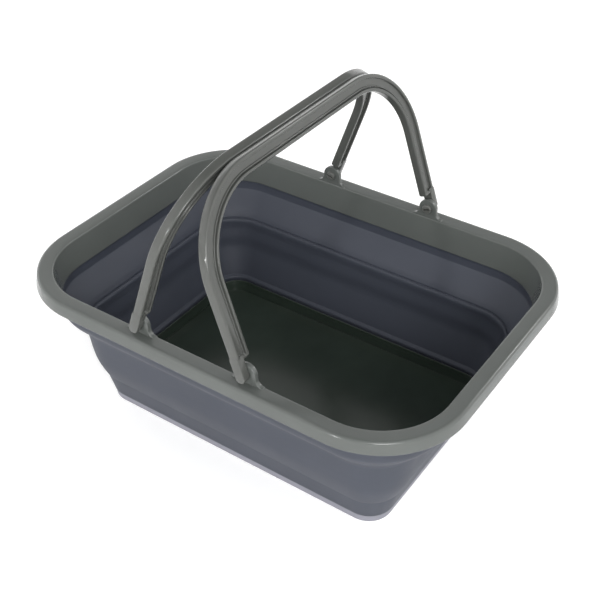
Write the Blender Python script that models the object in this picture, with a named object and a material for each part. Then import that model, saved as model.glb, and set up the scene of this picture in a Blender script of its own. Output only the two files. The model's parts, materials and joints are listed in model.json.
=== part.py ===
"""Collapsible pet bathtub: a hard rim frame, a soft folding wall, a hard base and swinging carry handles.

Frame: X along the tub's length, Y across its width, Z up. The origin is the middle of the face it stands on.
Every level of the tub is a rounded rectangle. Its inset is how far its ends lie inside the rim's ends.
"""

import math

import bmesh
import bpy
from mathutils import Matrix, Vector

# Rim: a broad flat flange with a skirt turned down outside and a deep collar inside.
RIM_LENGTH = 0.430
RIM_WIDTH = 0.320
RIM_TOP = 0.1536
RIM_RADIUS = 0.080
RIM_WALL = 0.0024
FLANGE_WIDTH = 0.0150
FLANGE_FALL = 0.0008
SKIRT_DROP = 0.0123
SKIRT_FLARE = 0.0017
OUTER_EDGE_RADIUS = 0.003
INNER_EDGE_RADIUS = 0.0018
COLLAR_INSET = 0.0202
COLLAR_DROP = 0.0284

# Base: a shallow hard tray on a foot ring, with a dark floor panel dropped into it.
BASE_LENGTH = 0.314
BASE_WIDTH = 0.207
BASE_RADIUS = 0.023
BASE_HEIGHT = 0.0086
BASE_WALL = 0.0024
BASE_EDGE = 0.0014
FOOT_RING_WIDTH = 0.008
FOOT_RECESS = 0.0022
TRAY_FLOOR = 0.0054
PANEL_THICKNESS = 0.002
PANEL_BORDER = 0.0048
PANEL_SLOPE = 0.0012

# Soft wall: three tapered bands, each nesting inside the one above it, with a bead at each fold.
WALL = 0.0020
UPPER_FOLD = 0.0885
LOWER_FOLD = 0.0290
UPPER_BAND_TOP_INSET = 0.0172
UPPER_BAND_FOOT_INSET = 0.0347
MIDDLE_TOP_INSET = 0.0378
MIDDLE_KNEE_INSET = 0.0413
MIDDLE_KNEE = 0.056
MIDDLE_FOOT_INSET = 0.0508
LOWER_TOP_INSET = 0.0540
LOWER_FOOT_OVERHANG = 0.0012
UPPER_BEAD_HEIGHT = 0.0035
LOWER_BEAD_HEIGHT = 0.0048
BEAD_WIDTH = 0.0042
UPPER_BULGE = 1.2
MIDDLE_BULGE = 1.5
MIDDLE_FOOT_BULGE = 1.3
LOWER_BULGE = 1.2

# Handles: two bails of I-shaped section, each on two snap pins through ears on the rim.
PIVOT_X = 0.0556
PIVOT_RISE = 0.0090
ARCH_HEIGHT = 0.1562
ARCH_HALF_WIDTH = 0.1576
ARCH_RADIUS = 0.077
BAR_DEPTH = 0.0158
BAR_THICKNESS = 0.0088
OUTER_RIB = 0.0033
INNER_RIB = 0.0036
WEB_THICKNESS = 0.0026
RIB_OVERLAP = 0.0008
LEG_STEP = 0.014
TONGUE_THICKNESS = 0.0077
TONGUE_PROUD = 0.0002
TONGUE_TOP = 0.019

EAR_THICKNESS = 0.0046
EAR_RADIUS = 0.0092
EAR_FOOT_FILLET = 0.0062
EAR_SINK = 0.0014
PIN_RADIUS = 0.003
PIN_HEAD_RADIUS = 0.0046
PIN_HEAD_LENGTH = 0.0026
PIN_SLOT_WIDTH = 0.0016
PIN_SLOT_DEPTH = 0.007
SOCKET_DEPTH = 0.003

GAP = 0.0003
CORNER_STEPS = 8
ARCH_STEPS = 10
ROUND_SIDES = 24

COLLAR_BOTTOM = RIM_TOP - COLLAR_DROP
BASE_INSET = (RIM_LENGTH - BASE_LENGTH) / 2
PIVOT_Z = RIM_TOP + PIVOT_RISE
EAR_INNER_Y = RIM_WIDTH / 2 - FLANGE_WIDTH
EAR_OUTER_Y = EAR_INNER_Y + EAR_THICKNESS
TONGUE_INNER_Y = ARCH_HALF_WIDTH - TONGUE_THICKNESS

# The bails rest leaning together, just short of touching at the crown.
CROWN_REACH = math.hypot(ARCH_HEIGHT, BAR_THICKNESS / 2)
LEAN = math.asin((PIVOT_X - GAP / 2) / CROWN_REACH) - math.atan2(BAR_THICKNESS / 2, ARCH_HEIGHT)


def clear_scene():
    for obj in list(bpy.data.objects):
        bpy.data.objects.remove(obj, do_unlink=True)


def new_collection(name):
    collection = bpy.data.collections.new(name)
    bpy.context.scene.collection.children.link(collection)
    return collection


clear_scene()
TUB = new_collection("pet_bathtub")
CUTTERS = new_collection("cutters")


def plastic(name, colour, roughness):
    material = bpy.data.materials.new(name)
    material.use_nodes = True
    shader = material.node_tree.nodes["Principled BSDF"]
    shader.inputs["Base Color"].default_value = (*colour, 1.0)
    shader.inputs["Roughness"].default_value = roughness
    shader.inputs["Metallic"].default_value = 0.0
    return material


RIM_PLASTIC = plastic("rim_plastic", (0.150, 0.158, 0.146), 0.38)
HANDLE_PLASTIC = plastic("handle_plastic", (0.135, 0.138, 0.128), 0.34)
PIN_PLASTIC = plastic("pin_plastic", (0.100, 0.104, 0.098), 0.40)
WALL_RUBBER = plastic("wall_rubber", (0.082, 0.093, 0.122), 0.55)
BASE_PLASTIC = plastic("base_plastic", (0.255, 0.255, 0.295), 0.42)
FLOOR_PLASTIC = plastic("floor_plastic", (0.012, 0.018, 0.015), 0.22)


def add_object(name, mesh, material):
    obj = bpy.data.objects.new(name, mesh)
    mesh.materials.append(material)
    TUB.objects.link(obj)
    return obj


def shade_round(obj, sharp_degrees=35):
    obj.data.shade_smooth()
    obj.data.set_sharp_from_angle(angle=math.radians(sharp_degrees))


# --- Levels of the tub -------------------------------------------------------------------------------------


def level_size(inset):
    """Half length, half width and corner radius of the tub's outline at an inset."""
    half_length = RIM_LENGTH / 2 - inset
    if inset <= COLLAR_INSET:
        return half_length, RIM_WIDTH / 2 - inset, RIM_RADIUS - inset
    share = (inset - COLLAR_INSET) / (BASE_INSET - COLLAR_INSET)
    collar_half_width = RIM_WIDTH / 2 - COLLAR_INSET
    collar_radius = RIM_RADIUS - COLLAR_INSET
    half_width = collar_half_width + share * (BASE_WIDTH / 2 - collar_half_width)
    radius = collar_radius + share * (BASE_RADIUS - collar_radius)
    return half_length, half_width, radius


def outline(inset):
    """Corner arcs of a rounded rectangle, anticlockwise from the +X side."""
    half_length, half_width, radius = level_size(inset)
    points = []
    for quarter, (sx, sy) in enumerate(((1, 1), (-1, 1), (-1, -1), (1, -1))):
        centre_x = sx * (half_length - radius)
        centre_y = sy * (half_width - radius)
        for step in range(CORNER_STEPS + 1):
            angle = math.pi / 2 * (quarter + step / CORNER_STEPS)
            points.append((centre_x + radius * math.cos(angle), centre_y + radius * math.sin(angle)))
    return points


def loft(name, section, material, capped=False):
    """Carry a section, listed as (inset, height), round the tub. A capped section ends in two floors."""
    mesh = bpy.data.meshes.new(name)
    bm = bmesh.new()
    rings = [[bm.verts.new((x, y, z)) for x, y in outline(inset)] for inset, z in section]
    pairs = list(zip(rings, rings[1:]))
    if capped:
        bm.faces.new(rings[0])
        bm.faces.new(rings[-1])
    else:
        pairs.append((rings[-1], rings[0]))
    count = len(rings[0])
    for first, second in pairs:
        for i in range(count):
            j = (i + 1) % count
            bm.faces.new((first[i], first[j], second[j], second[i]))
    bmesh.ops.recalc_face_normals(bm, faces=bm.faces)
    if bm.calc_volume(signed=True) < 0:
        bmesh.ops.reverse_faces(bm, faces=bm.faces)
    bm.to_mesh(mesh)
    bm.free()
    obj = add_object(name, mesh, material)
    shade_round(obj)
    return obj


def arc(centre, radius, start, end, steps):
    """Points of a circular arc in a section, between two angles in degrees."""
    points = []
    for step in range(steps + 1):
        angle = math.radians(start + (end - start) * step / steps)
        points.append((centre[0] + radius * math.cos(angle), centre[1] + radius * math.sin(angle)))
    return points


def right_side(start, end):
    """The unit vector to the right of a step along a path."""
    step = (Vector(end) - Vector(start)).normalized()
    return Vector((step.y, -step.x))


def offset_path(points, distance):
    """The path moved sideways to its right by a distance, with mitred corners and ends cut level."""
    sides = [right_side(start, end) for start, end in zip(points, points[1:])]
    moved = [(points[0][0] + distance / sides[0].x, points[0][1])]
    for point, before, after in zip(points[1:], sides, sides[1:]):
        mitre = (before + after).normalized()
        moved.append(tuple(Vector(point) + mitre * (distance / mitre.dot(after))))
    moved.append((points[-1][0] + distance / sides[-1].x, points[-1][1]))
    return moved


def shell_section(path, thickness):
    """A closed section: the path, and its copy moved sideways by the wall's thickness."""
    return path + offset_path(path, thickness)[::-1]


# --- Shapes joined or cut by Booleans ----------------------------------------------------------------------


def plate(name, points, thickness, matrix):
    """A flat outline in its own XY plane, thickened evenly to both sides, as a mesh object."""
    curve = bpy.data.curves.new(name, "CURVE")
    curve.dimensions = "2D"
    curve.fill_mode = "BOTH"
    curve.extrude = thickness / 2
    spline = curve.splines.new("POLY")
    spline.points.add(len(points) - 1)
    for spot, (x, y) in zip(spline.points, points):
        spot.co = (x, y, 0.0, 1.0)
    spline.use_cyclic_u = True
    outline_object = bpy.data.objects.new(name + "_outline", curve)
    CUTTERS.objects.link(outline_object)
    outline_object.matrix_world = matrix
    bpy.context.view_layer.update()
    evaluated = outline_object.evaluated_get(bpy.context.evaluated_depsgraph_get())
    mesh = bpy.data.meshes.new_from_object(evaluated)
    bm = bmesh.new()
    bm.from_mesh(mesh)
    bmesh.ops.remove_doubles(bm, verts=bm.verts, dist=1e-6)
    bmesh.ops.recalc_face_normals(bm, faces=bm.faces)
    bm.to_mesh(mesh)
    bm.free()
    obj = bpy.data.objects.new(name, mesh)
    CUTTERS.objects.link(obj)
    obj.matrix_world = matrix
    bpy.data.objects.remove(outline_object, do_unlink=True)
    bpy.data.curves.remove(curve)
    return obj


def cylinder(name, radius, length, matrix):
    """A cylinder along its own Z axis, centred on its origin."""
    mesh = bpy.data.meshes.new(name)
    bm = bmesh.new()
    bmesh.ops.create_cone(
        bm,
        cap_ends=True,
        segments=ROUND_SIDES,
        radius1=radius,
        radius2=radius,
        depth=length,
    )
    bm.to_mesh(mesh)
    bm.free()
    obj = bpy.data.objects.new(name, mesh)
    CUTTERS.objects.link(obj)
    obj.matrix_world = matrix
    return obj


def box(name, size, matrix):
    mesh = bpy.data.meshes.new(name)
    bm = bmesh.new()
    bmesh.ops.create_cube(bm, size=1.0)
    bmesh.ops.scale(bm, vec=size, verts=bm.verts)
    bm.to_mesh(mesh)
    bm.free()
    obj = bpy.data.objects.new(name, mesh)
    CUTTERS.objects.link(obj)
    obj.matrix_world = matrix
    return obj


def combine(target, tool, operation):
    """Join or cut a target with a tool, which stays behind as a guide in the scene."""
    tool.hide_render = True
    tool.display_type = "WIRE"
    modifier = target.modifiers.new(tool.name, "BOOLEAN")
    modifier.operation = operation
    modifier.solver = "EXACT"
    modifier.object = tool


def move_to_tub(obj, name, material):
    """Turn a helper shape into a part of the tub."""
    CUTTERS.objects.unlink(obj)
    TUB.objects.link(obj)
    obj.name = name
    obj.data.name = name
    obj.data.materials.clear()
    obj.data.materials.append(material)
    return obj


# --- Rim frame ---------------------------------------------------------------------------------------------


def rim_path():
    """From the skirt's foot up its outer face, over the flange and down the collar."""
    inner_top = RIM_TOP - FLANGE_FALL
    shoulder = arc(
        (OUTER_EDGE_RADIUS, RIM_TOP - OUTER_EDGE_RADIUS), OUTER_EDGE_RADIUS, 180, 90, 4
    )
    lip = arc(
        (FLANGE_WIDTH - INNER_EDGE_RADIUS, inner_top - INNER_EDGE_RADIUS), INNER_EDGE_RADIUS, 90, 10, 3
    )
    return [
        (-SKIRT_FLARE, RIM_TOP - SKIRT_DROP),
        (-SKIRT_FLARE / 2, RIM_TOP - SKIRT_DROP / 2),
        *shoulder,
        *lip,
        (COLLAR_INSET, COLLAR_BOTTOM),
    ]


def ear_outline():
    """A round-topped tab on two flared feet, centred on the pivot, its foot sunk into the flange."""
    foot = -PIVOT_RISE
    reach = EAR_RADIUS + EAR_FOOT_FILLET
    right_fillet = arc((reach, foot + EAR_FOOT_FILLET), EAR_FOOT_FILLET, 270, 180, 5)
    top = arc((0.0, 0.0), EAR_RADIUS, 0, 180, 14)
    left_fillet = arc((-reach, foot + EAR_FOOT_FILLET), EAR_FOOT_FILLET, 0, -90, 5)
    sunk = foot - EAR_SINK
    return [(-reach, sunk), (reach, sunk), *right_fillet, *top, *left_fillet]


def upright_plane(x, y, z):
    """A placement whose own X runs along the tub and whose own Y points up, so its Z faces -Y."""
    return Matrix.Translation((x, y, z)) @ Matrix.Rotation(math.pi / 2, 4, "X")


def build_rim():
    rim = loft("rim_frame", shell_section(rim_path(), RIM_WALL), RIM_PLASTIC)
    ear_y = (EAR_INNER_Y + EAR_OUTER_Y) / 2
    for end, sx in (("left", -1), ("right", 1)):
        for side, sy in (("front", -1), ("back", 1)):
            place = upright_plane(sx * PIVOT_X, sy * ear_y, PIVOT_Z)
            ear = plate(f"ear_{end}_{side}", ear_outline(), EAR_THICKNESS, place)
            hole = cylinder(f"ear_hole_{end}_{side}", PIN_RADIUS + GAP, 4 * EAR_THICKNESS, place)
            combine(rim, ear, "UNION")
            combine(rim, hole, "DIFFERENCE")


# --- Soft wall ---------------------------------------------------------------------------------------------


def bead_section(inset, top, height):
    """A rounded bead that keeps a flat outer face and rolls over to the inside."""
    radius = height / 2
    middle = top - radius
    inner = arc((inset + BEAD_WIDTH - radius, middle), radius, 90, -90, 5)
    chamfer = height / 5
    return [
        (inset, top - height + chamfer),
        (inset, top - chamfer),
        (inset + chamfer, top),
        *inner,
        (inset + chamfer, top - height),
    ]


def eased_path(start, end, bulge, steps):
    """Points from start down to end. A higher bulge keeps the wall upright for longer before it turns in."""
    points = []
    for step in range(steps + 1):
        share = step / steps
        inset = start[0] + (end[0] - start[0]) * share**bulge
        points.append((inset, start[1] + (end[1] - start[1]) * share))
    return points


def build_wall():
    # Every path is turned round to run upwards, so the thickness lies towards the middle of the tub.
    upper_top = (UPPER_BAND_TOP_INSET, COLLAR_BOTTOM - GAP)
    upper_foot = (UPPER_BAND_FOOT_INSET, UPPER_FOLD + GAP)
    upper = eased_path(upper_top, upper_foot, UPPER_BULGE, 7)[::-1]
    loft("wall_upper_band", shell_section(upper, WALL), WALL_RUBBER)

    middle_top = (MIDDLE_TOP_INSET, UPPER_FOLD - UPPER_BEAD_HEIGHT - GAP)
    knee = (MIDDLE_KNEE_INSET, MIDDLE_KNEE)
    middle_foot = (MIDDLE_FOOT_INSET, LOWER_FOLD + 2 * GAP)
    middle = eased_path(middle_top, knee, MIDDLE_BULGE, 4)
    middle += eased_path(knee, middle_foot, MIDDLE_FOOT_BULGE, 5)[1:]
    loft("wall_middle_band", shell_section(middle[::-1], WALL), WALL_RUBBER)

    lower_foot = (BASE_INSET - LOWER_FOOT_OVERHANG, BASE_HEIGHT + GAP)
    lower_top = (LOWER_TOP_INSET, LOWER_FOLD - LOWER_BEAD_HEIGHT - GAP)
    lower = eased_path(lower_top, lower_foot, LOWER_BULGE, 3)[::-1]
    loft("wall_lower_band", shell_section(lower, WALL), WALL_RUBBER)

    upper_bead = bead_section(MIDDLE_TOP_INSET - GAP / 3, UPPER_FOLD, UPPER_BEAD_HEIGHT)
    loft("wall_fold_ring_upper", upper_bead, WALL_RUBBER)
    lower_bead = bead_section(LOWER_TOP_INSET - 2 * GAP, LOWER_FOLD, LOWER_BEAD_HEIGHT)
    loft("wall_fold_ring_lower", lower_bead, WALL_RUBBER)


# --- Base --------------------------------------------------------------------------------------------------


def build_base():
    inner = BASE_INSET + BASE_WALL
    ring_inner = BASE_INSET + FOOT_RING_WIDTH
    tray = [
        (ring_inner + FOOT_RECESS, FOOT_RECESS),
        (ring_inner, 0.0),
        (BASE_INSET + BASE_EDGE, 0.0),
        (BASE_INSET + BASE_EDGE * 0.3, BASE_EDGE * 0.3),
        (BASE_INSET, BASE_EDGE),
        (BASE_INSET, BASE_HEIGHT),
        (inner, BASE_HEIGHT),
        (inner, TRAY_FLOOR),
    ]
    loft("base_tray", tray, BASE_PLASTIC, capped=True)

    edge = inner + GAP
    underside = TRAY_FLOOR + GAP
    top = underside + PANEL_THICKNESS
    panel = [
        (edge, underside),
        (edge, underside + PANEL_BORDER),
        (edge + PANEL_THICKNESS, underside + PANEL_BORDER),
        (edge + PANEL_THICKNESS + PANEL_SLOPE, top),
    ]
    loft("floor_panel", panel, FLOOR_PLASTIC, capped=True)


# --- Handles -----------------------------------------------------------------------------------------------


def arch(inset, start):
    """One line of the bail, from one foot over the crown to the other. Inset is measured inwards."""
    half_width = ARCH_HALF_WIDTH - inset
    height = ARCH_HEIGHT - inset
    radius = ARCH_RADIUS - inset
    right = arc((half_width - radius, height - radius), radius, 0, 90, ARCH_STEPS)
    left = arc((radius - half_width, height - radius), radius, 90, 180, ARCH_STEPS)
    return [(half_width, start), *right, *left, (-half_width, start)]


def strip(name, outer, inner, start, thickness, place):
    """A flat arched strip between two insets of the bail."""
    return plate(name, arch(outer, start) + arch(inner, start)[::-1], thickness, place)


def tongue_outline():
    """The leg's end below the step: straight sides and a round foot about the pivot."""
    radius = BAR_THICKNESS / 2 + TONGUE_PROUD
    return [*arc((0.0, 0.0), radius, 180, 360, 12), (radius, TONGUE_TOP), (-radius, TONGUE_TOP)]


def build_pin(name, side, place):
    """A snap pin along the hinge axis. Its split head shows on the ear's inner face."""
    inner = EAR_INNER_Y - GAP
    outer = TONGUE_INNER_Y + SOCKET_DEPTH - GAP
    tip = inner - PIN_HEAD_LENGTH
    along = Matrix.Rotation(math.pi / 2, 4, "Y")
    shaft_place = place @ Matrix.Translation((side * (inner - GAP + outer) / 2, 0, 0)) @ along
    shaft = cylinder(name, PIN_RADIUS, outer - inner + GAP, shaft_place)
    pin = move_to_tub(shaft, name, PIN_PLASTIC)
    head_place = place @ Matrix.Translation((side * (inner + tip) / 2, 0, 0)) @ along
    combine(pin, cylinder(name + "_head", PIN_HEAD_RADIUS, inner - tip, head_place), "UNION")
    slot_place = place @ Matrix.Translation((side * (tip + PIN_SLOT_DEPTH / 2 - GAP), 0, 0))
    slot_size = (PIN_SLOT_DEPTH, PIN_SLOT_WIDTH, 4 * PIN_HEAD_RADIUS)
    combine(pin, box(name + "_slot", slot_size, slot_place), "DIFFERENCE")
    shade_round(pin)
    return pin


def build_handle(name, side):
    """A bail on its hinge empty. The empty's own X is the hinge axis and its own Y points up the bail."""
    hinge = bpy.data.objects.new(f"hinge_{name}", None)
    TUB.objects.link(hinge)
    up = Vector((-side * math.sin(LEAN), 0.0, math.cos(LEAN)))
    across = Vector((0.0, 1.0, 0.0))
    facing = across.cross(up)
    place = Matrix((across, up, facing)).transposed().to_4x4()
    place.translation = Vector((side * PIVOT_X, 0.0, PIVOT_Z))
    hinge.matrix_world = place

    outer_rib = strip(f"handle_{name}", 0.0, OUTER_RIB, LEG_STEP, BAR_THICKNESS, place)
    handle = move_to_tub(outer_rib, f"handle_{name}", HANDLE_PLASTIC)
    web_start = OUTER_RIB - RIB_OVERLAP
    web_end = BAR_DEPTH - INNER_RIB + RIB_OVERLAP
    web = strip(f"web_{name}", web_start, web_end, LEG_STEP + RIB_OVERLAP / 2, WEB_THICKNESS, place)
    inner_rib = strip(f"inner_rib_{name}", BAR_DEPTH - INNER_RIB, BAR_DEPTH, LEG_STEP, BAR_THICKNESS, place)
    combine(handle, web, "UNION")
    combine(handle, inner_rib, "UNION")
    parts = [handle]
    for end, sy in (("front", -1), ("back", 1)):
        middle = ARCH_HALF_WIDTH + TONGUE_PROUD - TONGUE_THICKNESS / 2
        along = Matrix.Rotation(math.pi / 2, 4, "Y")
        tongue_place = place @ Matrix.Translation((sy * middle, 0, 0)) @ along
        tongue = plate(f"tongue_{name}_{end}", tongue_outline(), TONGUE_THICKNESS, tongue_place)
        socket_end = TONGUE_INNER_Y + SOCKET_DEPTH
        socket_length = socket_end - EAR_OUTER_Y
        socket_place = place @ Matrix.Translation((sy * (socket_end - socket_length / 2), 0, 0)) @ along
        socket = cylinder(f"socket_{name}_{end}", PIN_RADIUS + GAP, socket_length, socket_place)
        combine(handle, tongue, "UNION")
        combine(handle, socket, "DIFFERENCE")
        parts.append(build_pin(f"snap_pin_{name}_{end}", sy, place))
    shade_round(handle)
    for part in parts:
        world = part.matrix_world.copy()
        part.parent = hinge
        part.matrix_parent_inverse = Matrix.Identity(4)
        part.matrix_world = world


build_rim()
build_wall()
build_base()
build_handle("left", -1)
build_handle("right", 1)
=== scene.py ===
"""Collapsible pet bathtub on a pale floor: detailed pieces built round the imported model."""

import json
import math

import bmesh
import bpy
from mathutils import Matrix, Vector


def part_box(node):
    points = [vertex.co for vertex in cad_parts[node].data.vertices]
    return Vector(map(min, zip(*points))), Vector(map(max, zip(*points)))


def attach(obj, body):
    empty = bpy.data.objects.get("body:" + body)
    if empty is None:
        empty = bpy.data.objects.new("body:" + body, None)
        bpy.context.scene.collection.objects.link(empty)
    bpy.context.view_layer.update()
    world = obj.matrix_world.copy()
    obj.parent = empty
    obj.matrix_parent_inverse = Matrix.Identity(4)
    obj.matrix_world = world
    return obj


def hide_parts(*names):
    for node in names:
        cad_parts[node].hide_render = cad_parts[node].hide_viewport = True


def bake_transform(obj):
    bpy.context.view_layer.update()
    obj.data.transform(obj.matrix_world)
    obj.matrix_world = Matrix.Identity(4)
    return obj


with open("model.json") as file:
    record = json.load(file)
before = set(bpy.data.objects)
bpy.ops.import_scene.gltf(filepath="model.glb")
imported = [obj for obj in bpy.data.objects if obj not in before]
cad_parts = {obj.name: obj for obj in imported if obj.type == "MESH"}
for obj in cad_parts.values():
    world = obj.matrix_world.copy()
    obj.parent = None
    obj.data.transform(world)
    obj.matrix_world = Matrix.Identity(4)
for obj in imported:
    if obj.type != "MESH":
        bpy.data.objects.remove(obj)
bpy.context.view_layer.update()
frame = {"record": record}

MM = 0.001

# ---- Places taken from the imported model, and the few sizes its boxes don't give, in metres -------

JOINTS = {joint["name"]: joint for joint in frame["record"]["behaviour"]["joints"]}
RIM_LO, RIM_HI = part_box("rim_frame")
_, BASE_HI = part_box("base_tray")
PANEL_LO, PANEL_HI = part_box("floor_panel")
PIVOT_X, _, PIVOT_Z = JOINTS["handle_right_swing"]["pos_m"]

SKIRT_FLARE = 0.0017
PIVOT_RISE = 0.0090
HALF_LENGTH = RIM_HI.x - SKIRT_FLARE
HALF_WIDTH = RIM_HI.y - SKIRT_FLARE
RIM_TOP = PIVOT_Z - PIVOT_RISE
COLLAR_BOTTOM = RIM_LO.z
RIM_RADIUS = 0.080
FLANGE_WIDTH = 0.0150
COLLAR_INSET = 0.0202
BASE_INSET = HALF_LENGTH - BASE_HI.x
BASE_HALF_WIDTH = BASE_HI.y
BASE_RADIUS = 0.023
BASE_HEIGHT = BASE_HI.z

# How finely an outline is drawn round each corner and along each side.
CORNER_STEPS = 20
LONG_STEPS = 22
SHORT_STEPS = 14
SMALLEST_RADIUS = 0.004


def level_size(inset):
    """Half length, half width and corner radius of the tub's outline at an inset."""
    if inset <= COLLAR_INSET:
        return HALF_LENGTH - inset, HALF_WIDTH - inset, RIM_RADIUS - inset
    share = (inset - COLLAR_INSET) / (BASE_INSET - COLLAR_INSET)
    wide = HALF_WIDTH - COLLAR_INSET
    round_ = RIM_RADIUS - COLLAR_INSET
    half_width = wide + share * (BASE_HALF_WIDTH - wide)
    radius = round_ + share * (BASE_RADIUS - round_)
    return HALF_LENGTH - inset, half_width, max(radius, SMALLEST_RADIUS)


def outline(inset):
    """A rounded rectangle with even steps along its sides, anticlockwise from the +X side."""
    half_length, half_width, radius = level_size(inset)
    corners = ((1, 1, 0), (-1, 1, 1), (-1, -1, 2), (1, -1, 3))
    arcs = []
    for sx, sy, quarter in corners:
        cx = sx * (half_length - radius)
        cy = sy * (half_width - radius)
        points = []
        for step in range(CORNER_STEPS + 1):
            angle = math.pi / 2 * (quarter + step / CORNER_STEPS)
            points.append(Vector((cx + radius * math.cos(angle), cy + radius * math.sin(angle))))
        arcs.append(points)
    result = []
    for index, points in enumerate(arcs):
        result += points
        after = arcs[(index + 1) % 4][0]
        count = LONG_STEPS if index % 2 == 0 else SHORT_STEPS
        result += [points[-1].lerp(after, step / count) for step in range(1, count)]
    return result


# ---- Mesh helpers --------------------------------------------------------------------------------


NEARLY_STRAIGHT = 0.02
LARGEST_SHARE = 0.48


def rounded(points, steps=4):
    """A closed polygon, listed as (x, y, radius), with its corners rounded."""
    result = []
    count = len(points)
    for i in range(count):
        here = Vector(points[i][:2])
        radius = points[i][2]
        before = Vector(points[i - 1][:2]) - here
        after = Vector(points[(i + 1) % count][:2]) - here
        turn = before.angle(after, math.pi)
        if radius <= 0 or abs(turn - math.pi) < NEARLY_STRAIGHT:
            result.append(here)
            continue
        reach = radius / math.tan(turn / 2)
        reach = min(reach, LARGEST_SHARE * before.length, LARGEST_SHARE * after.length)
        radius = reach * math.tan(turn / 2)
        start = here + before.normalized() * reach
        end = here + after.normalized() * reach
        inward = (before.normalized() + after.normalized()).normalized()
        middle = here + inward * (radius / math.sin(turn / 2))
        a = start - middle
        b = end - middle
        for step in range(steps + 1):
            share = step / steps
            spread = a.angle(b, 0.0)
            if spread < 1e-4:
                result.append(start)
                break
            point = a * math.sin((1 - share) * spread) + b * math.sin(share * spread)
            result.append(middle + point / math.sin(spread))
    return result


def smooth(points, steps=5):
    """A smooth open curve through points."""
    points = [Vector(p) for p in points]
    padded = [2 * points[0] - points[1], *points, 2 * points[-1] - points[-2]]
    result = []
    for p0, p1, p2, p3 in zip(padded, padded[1:], padded[2:], padded[3:]):
        for step in range(steps):
            t = step / steps
            result.append(
                0.5 * (2 * p1 + (p2 - p0) * t + (2 * p0 - 5 * p1 + 4 * p2 - p3) * t**2
                       + (3 * p1 - p0 - 3 * p2 + p3) * t**3)
            )
    result.append(points[-1])
    return result


def new_object(name, bm, sharp=30):
    """A closed mesh that faces outwards, smooth but for edges sharper than an angle in degrees."""
    bmesh.ops.recalc_face_normals(bm, faces=bm.faces)
    mesh = bpy.data.meshes.new(name)
    if bm.calc_volume(signed=True) < 0:
        bmesh.ops.reverse_faces(bm, faces=bm.faces)
    bm.to_mesh(mesh)
    bm.free()
    obj = bpy.data.objects.new(name, mesh)
    bpy.context.scene.collection.objects.link(obj)
    mesh.shade_smooth()
    mesh.set_sharp_from_angle(angle=math.radians(sharp))
    return obj


def bridge(bm, rings, closed):
    """Faces between each ring and the next, and back to the first if closed."""
    pairs = list(zip(rings, rings[1:]))
    if closed:
        pairs.append((rings[-1], rings[0]))
    count = len(rings[0])
    for first, second in pairs:
        for i in range(count):
            j = (i + 1) % count
            bm.faces.new((first[i], first[j], second[j], second[i]))


def tub_loft(name, section, capped=False, sharp=30):
    """Carry a section, listed as (inset, height), round the tub."""
    bm = bmesh.new()
    rings = []
    for inset, z in section:
        rings.append([bm.verts.new((x, y, z)) for x, y in outline(inset)])
    bridge(bm, rings, not capped)
    if capped:
        bm.faces.new(rings[0])
        bm.faces.new(rings[-1])
    return new_object(name, bm, sharp)


def extrude_outline(points, depth, round_edge, matrix, name, steps=3):
    """A plate of an outline in its own XY plane, centred on Z = 0, with rounded rims."""
    bm = bmesh.new()
    count = len(points)
    inward = []
    for i in range(count):
        a = (points[i] - points[i - 1]).normalized()
        b = (points[(i + 1) % count] - points[i]).normalized()
        side = Vector((-(a.y + b.y), a.x + b.x)).normalized()
        inward.append(side)
    area = sum(points[i - 1].cross(points[i]) for i in range(count))
    if area < 0:
        inward = [-side for side in inward]
    rings = []
    levels = []
    for step in range(steps + 1):
        angle = math.pi / 2 * step / steps
        shrink = round_edge * (1 - math.sin(angle))
        levels.append((shrink, -depth / 2 + round_edge * (1 - math.cos(angle))))
    levels += [(shrink, -z) for shrink, z in levels[::-1]]
    for shrink, z in levels:
        ring = [bm.verts.new((*(p + side * shrink), z)) for p, side in zip(points, inward)]
        rings.append(ring)
    bridge(bm, rings, False)
    bm.faces.new(rings[0])
    bm.faces.new(rings[-1])
    obj = new_object(name, bm)
    obj.data.transform(matrix)
    return obj


def turned(profile, matrix, name, sides=32):
    """A turned solid: a profile of (radius, height) whose ends lie on the axis, about its own Z."""
    bm = bmesh.new()
    rings = []
    for radius, z in profile[1:-1]:
        ring = []
        for i in range(sides):
            angle = 2 * math.pi * i / sides
            ring.append(bm.verts.new((radius * math.cos(angle), radius * math.sin(angle), z)))
        rings.append(ring)
    bridge(bm, rings, False)
    for tip, ring in ((profile[0], rings[0]), (profile[-1], rings[-1])):
        centre = bm.verts.new((0, 0, tip[1]))
        for i in range(sides):
            bm.faces.new((ring[i], ring[(i + 1) % sides], centre))
    obj = new_object(name, bm)
    obj.data.transform(matrix)
    return obj


def combine(target, tool, operation):
    """Join or cut one mesh with another, and drop the tool."""
    modifier = target.modifiers.new("join", "BOOLEAN")
    modifier.operation = operation
    modifier.solver = "EXACT"
    modifier.object = tool
    bpy.context.view_layer.update()
    result = target.evaluated_get(bpy.context.evaluated_depsgraph_get())
    mesh = bpy.data.meshes.new_from_object(result)
    target.modifiers.clear()
    old = target.data
    target.data = mesh
    mesh.name = target.name
    bpy.data.meshes.remove(old)
    bpy.data.objects.remove(tool, do_unlink=True)


def smooth_shading(obj, sharp):
    obj.data.shade_smooth()
    obj.data.set_sharp_from_angle(angle=math.radians(sharp))


# ---- Materials -----------------------------------------------------------------------------------


def node(tree, kind, **inputs):
    """A shader node with its sockets, or else its own settings, set by name."""
    made = tree.nodes.new(kind)
    for key, value in inputs.items():
        if key in made.inputs:
            made.inputs[key].default_value = value
        else:
            setattr(made, key, value)
    return made


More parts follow.
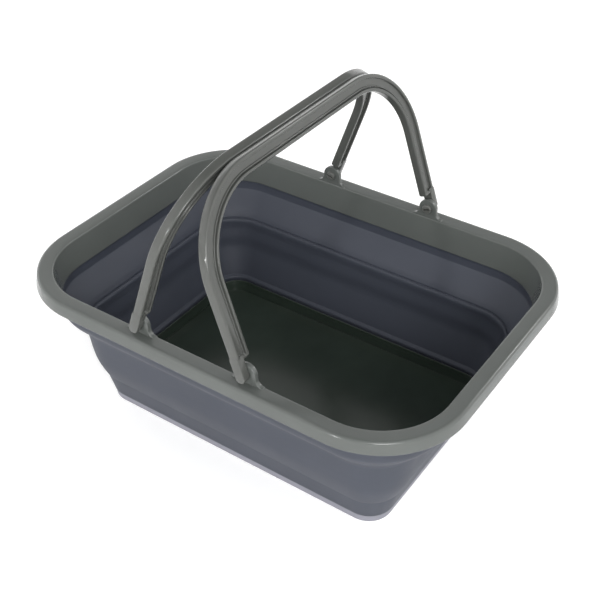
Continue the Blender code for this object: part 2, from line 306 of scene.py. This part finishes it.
def noise(tree, coordinates, scale, detail=3.0, roughness=0.5):
    made = tree.nodes.new("ShaderNodeTexNoise")
    made.inputs["Scale"].default_value = scale
    made.inputs["Detail"].default_value = detail
    made.inputs["Roughness"].default_value = roughness
    tree.links.new(coordinates, made.inputs["Vector"])
    return made.outputs["Fac"]


def remap(tree, value, low, high, to_low, to_high):
    """Carry a value from one range to another, held within its ends."""
    made = tree.nodes.new("ShaderNodeMapRange")
    made.inputs["From Min"].default_value = low
    made.inputs["From Max"].default_value = high
    made.inputs["To Min"].default_value = to_low
    made.inputs["To Max"].default_value = to_high
    tree.links.new(value, made.inputs["Value"])
    return made.outputs["Result"]


def mix_colour(tree, factor, a, b):
    made = tree.nodes.new("ShaderNodeMix")
    made.data_type = "RGBA"
    tree.links.new(factor, made.inputs["Factor"])
    for socket, value in ((made.inputs["A"], a), (made.inputs["B"], b)):
        if isinstance(value, tuple):
            socket.default_value = (*value, 1.0)
        else:
            tree.links.new(value, socket)
    return made.outputs["Result"]


def scaled(colour, factor):
    return tuple(channel * factor for channel in colour)


SPECK_PALER = 1.4
WORN_PALER = 1.7


def finish_material(
    name,
    colour,
    roughness,
    shade=0.06,
    grain=2600.0,
    grain_depth=0.008,
    ripple_depth=0.06,
    speckle=0.25,
    wear=0.25,
    specular=0.5,
    scratch=0.0,
):
    """A moulded surface: colour drift, fine grain, faint ripple, dust specks and paler worn edges."""
    material = bpy.data.materials.new(name)
    material.use_nodes = True
    tree = material.node_tree
    shader = tree.nodes["Principled BSDF"]
    where = tree.nodes.new("ShaderNodeTexCoord").outputs["Object"]

    drift = noise(tree, where, 9.0, 4.0, 0.55)
    drift = remap(tree, drift, 0.3, 0.7, 0.0, 1.0)
    base = mix_colour(tree, drift, scaled(colour, 1 - shade), scaled(colour, 1 + shade))

    specks = noise(tree, where, 900.0, 2.0, 0.6)
    specks = remap(tree, specks, 0.66, 0.80, 0.0, speckle)
    base = mix_colour(tree, specks, base, scaled(colour, SPECK_PALER))

    geometry = tree.nodes.new("ShaderNodeNewGeometry")
    edge = remap(tree, geometry.outputs["Pointiness"], 0.53, 0.62, 0.0, wear)
    patch = remap(tree, noise(tree, where, 60.0, 5.0, 0.65), 0.38, 0.62, 0.25, 1.0)
    both = node(tree, "ShaderNodeMath", operation="MULTIPLY")
    tree.links.new(edge, both.inputs[0])
    tree.links.new(patch, both.inputs[1])
    base = mix_colour(tree, both.outputs[0], base, scaled(colour, WORN_PALER))
    tree.links.new(base, shader.inputs["Base Color"])

    cloud = noise(tree, where, 28.0, 5.0, 0.6)
    rough = remap(tree, cloud, 0.3, 0.7, roughness - 0.02, roughness + 0.03)
    if scratch:
        stretch = node(tree, "ShaderNodeMapping")
        stretch.inputs["Rotation"].default_value = (0.0, 0.0, 0.5)
        stretch.inputs["Scale"].default_value = (1.0, 40.0, 1.0)
        tree.links.new(where, stretch.inputs["Vector"])
        lines = noise(tree, stretch.outputs["Vector"], 24.0, 3.0, 0.6)
        lines = remap(tree, lines, 0.62, 0.70, 0.0, scratch)
        total = node(tree, "ShaderNodeMath", operation="ADD")
        tree.links.new(rough, total.inputs[0])
        tree.links.new(lines, total.inputs[1])
        rough = total.outputs[0]
    tree.links.new(rough, shader.inputs["Roughness"])

    fine = node(tree, "ShaderNodeBump", Distance=0.0002)
    fine.inputs["Strength"].default_value = grain_depth * 10
    tree.links.new(noise(tree, where, grain, 2.0, 0.6), fine.inputs["Height"])
    broad = node(tree, "ShaderNodeBump", Distance=0.002)
    broad.inputs["Strength"].default_value = ripple_depth
    tree.links.new(noise(tree, where, 45.0, 3.0, 0.5), broad.inputs["Height"])
    tree.links.new(fine.outputs["Normal"], broad.inputs["Normal"])
    tree.links.new(broad.outputs["Normal"], shader.inputs["Normal"])

    shader.inputs["Specular IOR Level"].default_value = specular
    return material


RIM_COLOUR = (0.083, 0.090, 0.085)
HANDLE_COLOUR = (0.066, 0.069, 0.064)
PIN_COLOUR = (0.085, 0.088, 0.082)
WALL_COLOUR = (0.040, 0.045, 0.060)
BASE_COLOUR = (0.185, 0.185, 0.215)
FLOOR_COLOUR = (0.022, 0.031, 0.024)

MATERIALS = {
    "rim_plastic": finish_material(
        "rim_plastic", RIM_COLOUR, 0.17, wear=0.2, speckle=0.05, ripple_depth=0.02
    ),
    "handle_plastic": finish_material(
        "handle_plastic", HANDLE_COLOUR, 0.11, wear=0.2, speckle=0.05, ripple_depth=0.015
    ),
    "pin_plastic": finish_material("pin_plastic", PIN_COLOUR, 0.30, ripple_depth=0.0),
    "wall_rubber": finish_material(
        "wall_rubber", WALL_COLOUR, 0.55, shade=0.08, grain=1700.0, grain_depth=0.02,
        ripple_depth=0.02, wear=0.0, specular=0.35,
    ),
    "base_plastic": finish_material("base_plastic", BASE_COLOUR, 0.42, wear=0.20),
    "floor_plastic": finish_material(
        "floor_plastic", FLOOR_COLOUR, 0.18, shade=0.25, wear=0.0, speckle=0.4, scratch=0.06,
        ripple_depth=0.03,
    ),
}


def finish(obj, slot, body=None, *replaced):
    """Give a piece the material for its slot, hide the CAD nodes it stands in for and hang it on the
    body it rides on.
    """
    obj.data.materials.clear()
    obj.data.materials.append(MATERIALS[slot])
    if replaced:
        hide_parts(*replaced)
    if body:
        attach(obj, body)
    return obj


# ---- Rim frame -----------------------------------------------------------------------------------

SKIRT_FOOT = RIM_TOP - 0.0123
EAR_THICKNESS = 0.0046
EAR_INNER_Y = HALF_WIDTH - FLANGE_WIDTH
EAR_OUTER_Y = EAR_INNER_Y + EAR_THICKNESS
EAR_RADIUS = 0.0092
EAR_FILLET = 0.0062
EAR_SINK = 0.0014
EAR_EDGE = 0.0007
PIN_RADIUS = 0.003
PIN_PLAY = 0.0002


def upright(x, y, z):
    """A placement whose own X runs along the tub and whose own Y points up, so its Z faces -Y."""
    return Matrix.Translation((x, y, z)) @ Matrix.Rotation(math.pi / 2, 4, "X")


def arc_points(cx, cy, radius, start, end, steps):
    """Points on an arc between two angles in degrees."""
    points = []
    for step in range(steps + 1):
        angle = math.radians(start + (end - start) * step / steps)
        points.append(Vector((cx + radius * math.cos(angle), cy + radius * math.sin(angle))))
    return points


def build_rim():
    """A skirt, a flange and a collar moulded in one, with an ear for each handle end."""
    wall = 0.0024
    section = rounded(
        [
            (-SKIRT_FLARE, SKIRT_FOOT, 0.0010),
            (0.0005, RIM_TOP, 0.0032),
            (FLANGE_WIDTH, RIM_TOP - 0.0008, 0.0020),
            (COLLAR_INSET, COLLAR_BOTTOM, 0.0008),
            (COLLAR_INSET - wall, COLLAR_BOTTOM, 0.0006),
            (FLANGE_WIDTH - wall + 0.0002, RIM_TOP - 0.0032, 0.0020),
            (0.0026, RIM_TOP - 0.0024, 0.0016),
            (-SKIRT_FLARE + 0.0021, SKIRT_FOOT, 0.0007),
        ],
        steps=6,
    )
    rim = tub_loft("rim_moulding", section, sharp=40)
    reach = EAR_RADIUS + EAR_FILLET
    foot = -PIVOT_RISE
    shape = [
        Vector((-reach - 0.0006, foot - EAR_SINK)),
        Vector((reach + 0.0006, foot - EAR_SINK)),
        *arc_points(reach, foot + EAR_FILLET, EAR_FILLET, 268, 182, 8),
        *arc_points(0, 0, EAR_RADIUS, 2, 178, 26),
        *arc_points(-reach, foot + EAR_FILLET, EAR_FILLET, -2, -88, 8),
    ]
    middle = (EAR_INNER_Y + EAR_OUTER_Y) / 2
    bore = PIN_RADIUS + PIN_PLAY
    hole = [(0, -0.02), (bore, -0.02), (bore, 0.02), (0, 0.02)]
    for sx in (-1, 1):
        for sy in (-1, 1):
            place = upright(sx * PIVOT_X, sy * middle, PIVOT_Z)
            combine(rim, extrude_outline(shape, EAR_THICKNESS, EAR_EDGE, place, "ear"), "UNION")
            combine(rim, turned(hole, place, "hole"), "DIFFERENCE")
    smooth_shading(rim, 32)
    finish(rim, "rim_plastic", "rim", "rim_frame")


# ---- Soft wall -----------------------------------------------------------------------------------


def mm(points):
    return [(x * MM, y * MM) for x, y in points]


# The two skins share the outer face between these heights, the lower one just inside the upper.
SEAM_TOP = 0.0868
SEAM_FOOT = 0.0854
SEAM = 0.00002

# The wall's faces, from the collar down, as (inset, height) in millimetres.
OUTER_UPPER = mm(
    [
        (17.2, 124.9),
        (17.2, 118.0),
        (18.0, 113.6),
        (20.6, 109.2),
        (24.6, 104.6),
        (29.2, 99.8),
        (33.0, 95.2),
        (35.6, 91.4),
        (36.8, 88.4),
        (37.3, 85.4),
    ]
)
OUTER_LOWER = mm(
    [
        (38.0, 80.4),
        (38.6, 76.0),
        (39.2, 71.5),
        (39.8, 66.5),
        (40.6, 61.0),
        (41.5, 55.8),
        (42.8, 50.6),
        (44.6, 45.2),
        (46.7, 39.8),
        (48.9, 34.8),
        (50.0, 32.7),
        (50.6, 31.9),
        (50.8, 31.2),
        (51.0, 30.4),
        (51.9, 27.0),
        (53.3, 21.8),
        (54.8, 16.2),
        (56.0, 11.2),
        (56.5, 8.9),
    ]
)
INNER_UPPER = mm(
    [
        (19.4, 124.9),
        (18.9, 122.5),
        (18.9, 116.2),
        (19.2, 115.0),
        (20.2, 113.6),
        (23.2, 110.0),
        (27.3, 105.2),
        (31.6, 100.2),
        (35.0, 95.6),
        (37.2, 91.4),
        (37.6, 90.3),
        (37.5, 89.4),
    ]
)
INNER_LOWER = mm(
    [
        (37.3, 88.4),
        (38.0, 89.1),
        (39.0, 89.2),
        (40.2, 88.5),
        (40.9, 87.0),
        (41.1, 85.0),
        (41.0, 82.0),
        (41.2, 78.0),
        (42.0, 73.5),
        (42.8, 69.2),
        (43.2, 65.5),
        (43.3, 61.5),
        (43.7, 57.6),
        (44.7, 53.8),
        (46.7, 48.4),
        (49.1, 42.0),
        (51.6, 35.4),
        (53.6, 30.0),
        (54.5, 27.2),
        (54.9, 26.0),
        (55.9, 25.4),
        (57.3, 24.7),
        (58.2, 23.3),
        (58.1, 21.4),
        (57.6, 19.6),
        (57.3, 16.0),
        (57.4, 12.0),
        (57.8, 8.9),
    ]
)


def build_wall():
    """The folding wall, in two skins that overlap at the upper fold."""
    whole = smooth(OUTER_UPPER + OUTER_LOWER)
    outer = [p for p in whole if p.y > SEAM_FOOT - SEAM]
    tongue = mm([(38.2, 85.6), (38.8, 86.6), (38.6, 88.0)])
    section = smooth(INNER_UPPER) + [Vector(p) for p in tongue[::-1]] + outer[::-1]
    skin = tub_loft("wall_skin_upper", section, sharp=60)
    finish(skin, "wall_rubber", None, "wall_upper_band")
    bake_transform(skin)

    lower = [p + Vector((SEAM, 0.0)) for p in whole if p.y < SEAM_TOP]
    section = smooth(INNER_LOWER, 4) + lower[::-1]
    skin = tub_loft("wall_skin_lower", section, sharp=60)
    replaced = ("wall_fold_ring_upper", "wall_middle_band", "wall_fold_ring_lower", "wall_lower_band")
    finish(skin, "wall_rubber", None, *replaced)
    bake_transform(skin)


# ---- Base ----------------------------------------------------------------------------------------


# Top of the dark upstand, which is partly painted shade below the wall's lip.
SHADE_UPSTAND_TOP = 0.0196


def build_base():
    """The pale tray under the wall, and the dark insert whose upstand runs up behind the wall's lip; the
    upstand is partly painted shade, a dark band standing for the shade on the wall's lower inner face.
    """
    wall = 0.0024
    foot = 0.008
    recess = 0.0022
    floor_top = PANEL_LO.z - 0.0003
    inset = BASE_INSET
    outer = rounded(
        [
            (inset + foot + recess, recess, 0.0),
            (inset + foot, 0.0, 0.0008),
            (inset, 0.0, 0.0014),
            (inset, BASE_HEIGHT, 0.0004),
            (inset + wall, BASE_HEIGHT, 0.0003),
            (inset + wall, floor_top, 0.0),
        ],
        steps=5,
    )
    tray = tub_loft("base_strip", outer, capped=True)
    finish(tray, "base_plastic", "base", "base_tray")

    edge = HALF_LENGTH - PANEL_HI.x
    low = PANEL_LO.z
    top = low + 0.002
    # The upstand in the dark floor plastic is partly painted shade: it darkens the band below the wall's
    # lip.
    upstand = smooth(
        [
            (edge - 0.0022, BASE_HEIGHT + 0.0012),
            (edge - 0.0025, SHADE_UPSTAND_TOP - 0.0010),
            (edge - 0.0020, SHADE_UPSTAND_TOP),
            (edge - 0.0014, SHADE_UPSTAND_TOP - 0.0008),
            (edge - 0.0008, SHADE_UPSTAND_TOP - 0.0050),
            (edge + 0.0002, top + 0.0030),
            (edge + 0.0004, top),
        ]
    )
    panel = [Vector((edge, low)), Vector((edge, BASE_HEIGHT + 0.0006))] + upstand
    insert = tub_loft("floor_insert", panel, capped=True, sharp=40)
    finish(insert, "floor_plastic", "base", "floor_panel")


# ---- Handles -------------------------------------------------------------------------------------

ARCH_HEIGHT = 0.1562
ARCH_HALF_WIDTH = 0.1576
ARCH_RADIUS = 0.077
BAR_DEPTH = 0.0158
BAR_HALF = 0.0044
LEG_STEP = 0.0140
TONGUE_DEPTH = 0.0077
TONGUE_PROUD = 0.0002
SOCKET_DEPTH = 0.003
GAP = 0.0003
CROWN_REACH = math.hypot(ARCH_HEIGHT, BAR_HALF)
LEAN = math.asin((PIVOT_X - GAP / 2) / CROWN_REACH) - math.atan2(BAR_HALF, ARCH_HEIGHT)

# How the pocket opens and the end rounds over, by distance up the leg, and the pocket's place in depth.
POCKET_RISES = (0.0, 0.0004, 0.0012, 0.0022, 0.0028, 0.0034, 0.0042, 0.0052)
POCKET_START = 0.0022
POCKET_RAMP = 0.0020
POCKET_FROM = 0.0034
POCKET_TO = 0.0128
FLUSH = BAR_HALF - 0.0002
END_LENGTH = 0.0012
END_DROP = 0.0008
INNER_FROM = 0.010
LEAST_HEIGHT = 0.0002
LEG_STEPS = 8
BEND_STEPS = 24
GRIP_STEPS = 8


def bar_section():
    """Half of the bar's section as (depth, height): a rib at each edge, a web with a step between."""
    side = rounded(
        [
            (0.0, BAR_HALF, 0.0019),
            (0.0036, BAR_HALF, 0.0007),
            (0.0040, 0.0020, 0.0006),
            (0.0100, 0.0018, 0.0003),
            (0.0103, 0.0030, 0.0004),
            (0.0113, 0.0030, 0.0004),
            (0.0116, 0.0014, 0.0003),
            (0.0122, 0.0014, 0.0003),
            (0.0126, BAR_HALF - 0.0002, 0.0006),
            (BAR_DEPTH, BAR_HALF - 0.0006, 0.0014),
            (BAR_DEPTH, -0.001, 0.0),
            (0.0, -0.001, 0.0),
        ],
        steps=4,
    )
    upper = [p for p in side if p.y > -0.0005]
    start = min(range(len(upper)), key=lambda i: upper[i].x + abs(upper[i].y) * 1e-3)
    while upper[start - 1].x <= upper[start].x + 1e-9 and upper[start - 1].y < upper[start].y:
        start -= 1
    upper = upper[start:] + upper[:start]
    return upper


def leg_heights(leg_top):
    """Heights up one leg: close together where the pocket opens, then even up to the bend."""
    heights = [LEG_STEP + rise for rise in POCKET_RISES]
    last = heights[-1]
    return heights + [last + (leg_top - last) * i / LEG_STEPS for i in range(1, LEG_STEPS)]


def bail_stations():
    """Stations from foot to foot: a function from depth to a place, and the distance up the leg."""
    leg_top = ARCH_HEIGHT - ARCH_RADIUS
    half = ARCH_HALF_WIDTH - ARCH_RADIUS
    stations = []
    for v in leg_heights(leg_top):
        stations.append((lambda d, v=v: (ARCH_HALF_WIDTH - d, v), v - LEG_STEP))
    for i in range(BEND_STEPS + 1):
        angle = math.pi / 2 * i / BEND_STEPS
        c = math.cos(angle)
        s = math.sin(angle)
        stations.append(
            (lambda d, c=c, s=s: (half + (ARCH_RADIUS - d) * c, leg_top + (ARCH_RADIUS - d) * s), 1.0)
        )
    for i in range(1, GRIP_STEPS + 1):
        u = half * (1 - i / GRIP_STEPS)
        stations.append((lambda d, u=u: (u, ARCH_HEIGHT - d), 1.0))
    mirrored = [(lambda d, f=f: (-f(d)[0], f(d)[1]), along) for f, along in stations[:-1]]
    return stations + mirrored[::-1]


def bail_ring(bm, section, where, along):
    """One ring of the bail: solid and rounded over at the foot, with the pocket open further up."""
    opened = min(1.0, max(0.0, (along - POCKET_START) / POCKET_RAMP))
    opened = opened * opened * (3 - 2 * opened)
    end_round = 0.0
    if along < END_LENGTH:
        end_round = END_DROP * (1 - along / END_LENGTH) ** 2
    ring = []
    for sign, points in ((1, section), (-1, section[::-1])):
        for p in points:
            height = p.y
            if POCKET_FROM < p.x < POCKET_TO:
                height = FLUSH + (p.y - FLUSH) * opened
            height = max(height - end_round, LEAST_HEIGHT)
            depth = p.x
            if depth > INNER_FROM and end_round:
                depth -= end_round
            u, v = where(depth)
            ring.append(bm.verts.new((u, v, sign * height)))
    return ring


def build_handle(name, side):
    """A bail with a channelled bar, a round tongue at each foot and its two pins."""
    up = Vector((-side * math.sin(LEAN), 0.0, math.cos(LEAN)))
    across = Vector((0.0, 1.0, 0.0))
    facing = across.cross(up)
    place = Matrix((across, up, facing)).transposed().to_4x4()
    place.translation = Vector((side * PIVOT_X, 0.0, PIVOT_Z))

    section = bar_section()
    bm = bmesh.new()
    rings = [bail_ring(bm, section, where, along) for where, along in bail_stations()]
    bridge(bm, rings, False)
    bm.faces.new(rings[0])
    bm.faces.new(rings[-1])
    bail = new_object(f"bail_{name}", bm)
    bail.data.transform(place)

    radius = BAR_HALF + TONGUE_PROUD
    shape = [
        *arc_points(0, 0, radius, 180, 360, 16),
        Vector((radius, 0.0165)),
        Vector((radius - 0.0006, 0.0185)),
        Vector((-radius + 0.0006, 0.0185)),
        Vector((-radius, 0.0165)),
    ]
    socket = [(0, -0.012), (PIN_RADIUS + PIN_PLAY, -0.012), (PIN_RADIUS + PIN_PLAY, 0.0), (0, 0.0)]
    tongue_at = ARCH_HALF_WIDTH + TONGUE_PROUD - TONGUE_DEPTH / 2
    socket_at = ARCH_HALF_WIDTH - TONGUE_DEPTH + SOCKET_DEPTH
    for sy in (-1, 1):
        turn = Matrix.Rotation(math.pi / 2, 4, "Y")
        tongue_place = place @ Matrix.Translation((sy * tongue_at, 0, 0)) @ turn
        tongue = extrude_outline(shape, TONGUE_DEPTH, EAR_EDGE, tongue_place, "tongue")
        combine(bail, tongue, "UNION")
        turn = Matrix.Rotation(sy * math.pi / 2, 4, "Y")
        socket_place = place @ Matrix.Translation((sy * socket_at, 0, 0)) @ turn
        combine(bail, turned(socket, socket_place, "socket"), "DIFFERENCE")
    smooth_shading(bail, 32)
    finish(bail, "handle_plastic", f"handle_{name}", f"handle_{name}")

    for end, sy in (("front", -1), ("back", 1)):
        build_pin(name, end, sy, place)


SLOT_LENGTH = 0.0066
SLOT_WIDTH = 0.0017
SLOT_ROUND = 0.0006
SLOT_DEPTH = 0.005
PIN_REACH = 0.0027


def build_pin(name, end, sy, place):
    """A snap pin: a domed split head on the ear's inner face and a shaft through the ear."""
    head = 0.0026
    head_radius = 0.0046
    tip = EAR_INNER_Y - GAP - head
    length = ARCH_HALF_WIDTH - TONGUE_DEPTH + PIN_REACH - tip
    profile = [
        (0.0, 0.0),
        (head_radius - 0.0011, 0.0),
        (head_radius - 0.0004, 0.0003),
        (head_radius, 0.0010),
        (head_radius, head - 0.0002),
        (head_radius - 0.0003, head),
        (PIN_RADIUS, head),
        (PIN_RADIUS, length - 0.0005),
        (PIN_RADIUS - 0.0005, length),
        (0.0, length),
    ]
    pin_place = place @ Matrix.Translation((sy * tip, 0, 0)) @ Matrix.Rotation(sy * math.pi / 2, 4, "Y")
    pin = turned(profile, pin_place, f"pin_{name}_{end}")
    corners = ((-1, -1), (1, -1), (1, 1), (-1, 1))
    slot = rounded([(sx * SLOT_LENGTH / 2, sy * SLOT_WIDTH / 2, SLOT_ROUND) for sx, sy in corners])
    combine(pin, extrude_outline(slot, 2 * SLOT_DEPTH, 0.0001, pin_place, "slot"), "DIFFERENCE")
    smooth_shading(pin, 35)
    finish(pin, "pin_plastic", f"handle_{name}", f"snap_pin_{name}_{end}")


build_rim()
build_wall()
build_base()
build_handle("left", -1)
build_handle("right", 1)


# ---- Floor, light and camera ---------------------------------------------------------------------

# The room's brightness towards each side, and the lamps' power in watts.
WORLD_LEFT = 1.0
WORLD_RIGHT = 2.35
WORLD_FRONT = 1.2
WORLD_BACK = 0.50
FRONT_POWER = 5.0
NEAR_RIGHT_POWER = 11.0
BACK_POWER = 1.6
FLOOR_GLOW = 0.24


# The floor's profile as (radius, height), curving up at its edge, and how far it lies under the tub.
FLOOR_PROFILE = ((0.02, 0.0), (0.6, 0.0), (2.5, 0.0), (5.0, 0.0), (6.2, 0.35), (6.8, 1.2), (7.0, 3.5))
FLOOR_SIDES = 96
FLOOR_DROP = 0.0001


def build_stage():
    """A wide pale floor that glows a little, so that the tub's shadow stays faint."""
    bm = bmesh.new()
    rings = []
    for radius, z in FLOOR_PROFILE:
        ring = []
        for i in range(FLOOR_SIDES):
            angle = 2 * math.pi * i / FLOOR_SIDES
            place = (radius * math.cos(angle), radius * math.sin(angle), z - FLOOR_DROP)
            ring.append(bm.verts.new(place))
        rings.append(ring)
    bridge(bm, rings, False)
    bm.faces.new(rings[0])
    bmesh.ops.recalc_face_normals(bm, faces=bm.faces)
    mesh = bpy.data.meshes.new("studio_floor")
    bm.to_mesh(mesh)
    bm.free()
    floor = bpy.data.objects.new("studio_floor", mesh)
    bpy.context.scene.collection.objects.link(floor)
    mesh.shade_smooth()
    material = bpy.data.materials.new("studio_floor")
    material.use_nodes = True
    shader = material.node_tree.nodes["Principled BSDF"]
    shader.inputs["Base Color"].default_value = (0.93, 0.93, 0.93, 1.0)
    shader.inputs["Roughness"].default_value = 0.9
    shader.inputs["Specular IOR Level"].default_value = 0.1
    shader.inputs["Emission Color"].default_value = (1.0, 1.0, 1.0, 1.0)
    shader.inputs["Emission Strength"].default_value = FLOOR_GLOW
    mesh.materials.append(material)


def area_light(name, place, target, size, power):
    """A square lamp at a place, turned towards a target."""
    data = bpy.data.lights.new(name, "AREA")
    data.shape = "RECTANGLE"
    data.size = size
    data.size_y = size
    data.energy = power
    light = bpy.data.objects.new(name, data)
    bpy.context.scene.collection.objects.link(light)
    light.location = place
    direction = Vector(target) - Vector(place)
    light.rotation_euler = direction.to_track_quat("-Z", "Y").to_euler()


def build_light():
    """A pale room, brightest on the right, with a soft lamp near the right corner and two for glints."""
    world = bpy.data.worlds.new("studio")
    bpy.context.scene.world = world
    world.use_nodes = True
    tree = world.node_tree
    background = tree.nodes["Background"]
    background.inputs["Color"].default_value = (1.0, 1.0, 1.0, 1.0)
    direction = tree.nodes.new("ShaderNodeTexCoord").outputs["Generated"]
    total = None
    sides = (
        ((-1, 0, 0), WORLD_LEFT),
        ((1, 0, 0), WORLD_RIGHT),
        ((0, -1, 0), WORLD_FRONT),
        ((0, 1, 0), WORLD_BACK),
    )
    for side, amount in sides:
        towards = node(tree, "ShaderNodeVectorMath", operation="DOT_PRODUCT")
        towards.inputs[1].default_value = side
        tree.links.new(direction, towards.inputs[0])
        share = remap(tree, towards.outputs["Value"], 0.0, 1.0, 0.0, amount)
        if total:
            added = node(tree, "ShaderNodeMath", operation="ADD")
            tree.links.new(share, added.inputs[0])
            tree.links.new(total, added.inputs[1])
            share = added.outputs[0]
        total = share
    tree.links.new(total, background.inputs["Strength"])
    middle = (0.0, 0.0, 0.1)
    area_light("front", (-0.12, -1.6, 0.5), middle, 0.08, FRONT_POWER)
    area_light("near_right", (1.1, -1.2, 0.8), middle, 0.6, NEAR_RIGHT_POWER)
    area_light("back", (0.75, 1.05, 0.95), middle, 0.14, BACK_POWER)


CAMERA_AZIMUTH = 34.286
CAMERA_ELEVATION = 37.361
CAMERA_ROLL = 0.211
CAMERA_PLACE = (0.4441, -0.6440, 0.7151)
CAMERA_LENS = 63.44


def build_camera():
    """The camera at the photo's angle, with its angles in degrees."""
    azimuth = math.radians(CAMERA_AZIMUTH)
    elevation = math.radians(CAMERA_ELEVATION)
    roll = math.radians(CAMERA_ROLL)
    level_reach = math.cos(elevation)
    forward = Vector(
        (-math.sin(azimuth) * level_reach, math.cos(azimuth) * level_reach, -math.sin(elevation))
    )
    right = forward.cross(Vector((0, 0, 1))).normalized()
    up = right.cross(forward)
    level = right * math.cos(roll) + up * math.sin(roll)
    above = up * math.cos(roll) - right * math.sin(roll)
    data = bpy.data.cameras.new("camera")
    data.sensor_width = 36.0
    data.lens = CAMERA_LENS
    data.clip_start = 0.05
    data.clip_end = 40.0
    camera = bpy.data.objects.new("camera", data)
    bpy.context.scene.collection.objects.link(camera)
    matrix = Matrix((level, above, -forward)).transposed().to_4x4()
    matrix.translation = Vector(CAMERA_PLACE)
    camera.matrix_world = matrix
    bpy.context.scene.camera = camera


build_stage()
build_light()
build_camera()
bpy.context.scene.view_settings.view_transform = "Standard"
